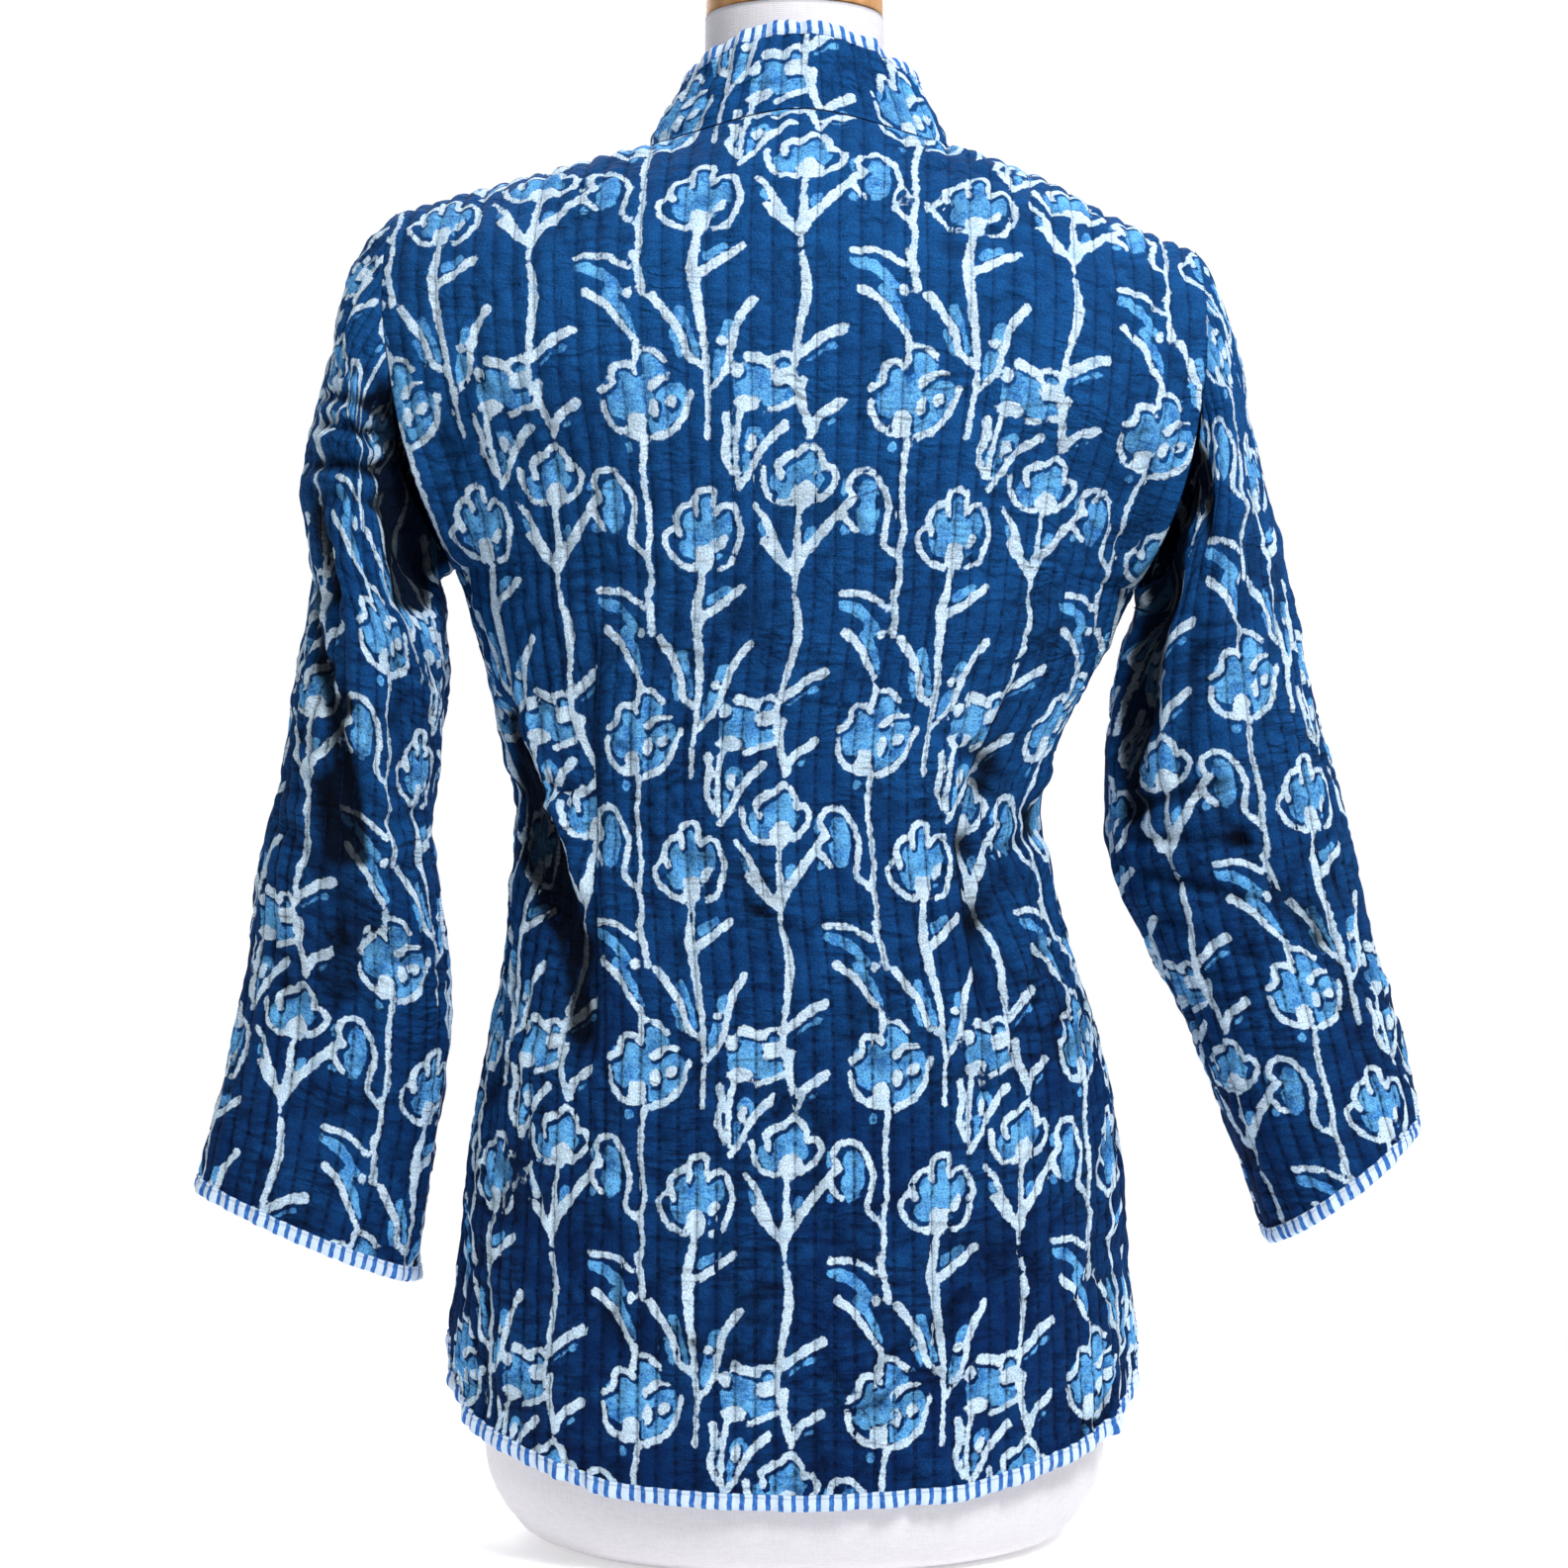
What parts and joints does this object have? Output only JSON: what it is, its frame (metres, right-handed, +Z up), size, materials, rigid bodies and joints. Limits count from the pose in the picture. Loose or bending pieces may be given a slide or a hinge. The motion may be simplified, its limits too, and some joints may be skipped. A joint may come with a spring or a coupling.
{
  "type": "quilted reversible jacket on dress form",
  "caption": "Long-sleeved quilted cotton jacket with stand collar, waist darts and striped bound edges, filled out on a limbless linen dress form with a wooden neck cap.",
  "frame": {"origin": "centre of the dress form's flat base", "axes": "+Z up; the jacket's back faces -Y and its front +Y; +X is the wearer's right"},
  "size_m": [0.6046, 0.2441, 0.7748],
  "materials": {
    "quilted_cloth": "indigo hand-printed cotton, machine quilted in narrow channels, matt",
    "striped_binding": "pale blue cotton bias binding with blue bars, matt",
    "linen": "natural white linen stretched over the form, matt",
    "wood": "light turned wood, satin"
  },
  "bodies": {
    "root": {"back": "quilted_cloth", "front_left": "quilted_cloth", "front_right": "quilted_cloth", "sleeve_left": "quilted_cloth", "sleeve_right": "quilted_cloth", "collar": "quilted_cloth", "binding_collar": "striped_binding", "binding_hem_back": "striped_binding", "binding_front_left": "striped_binding", "binding_front_right": "striped_binding", "binding_cuff_left": "striped_binding", "binding_cuff_right": "striped_binding", "dress_form": "linen", "neck_cap": "wood"}
  },
  "joints": []
}
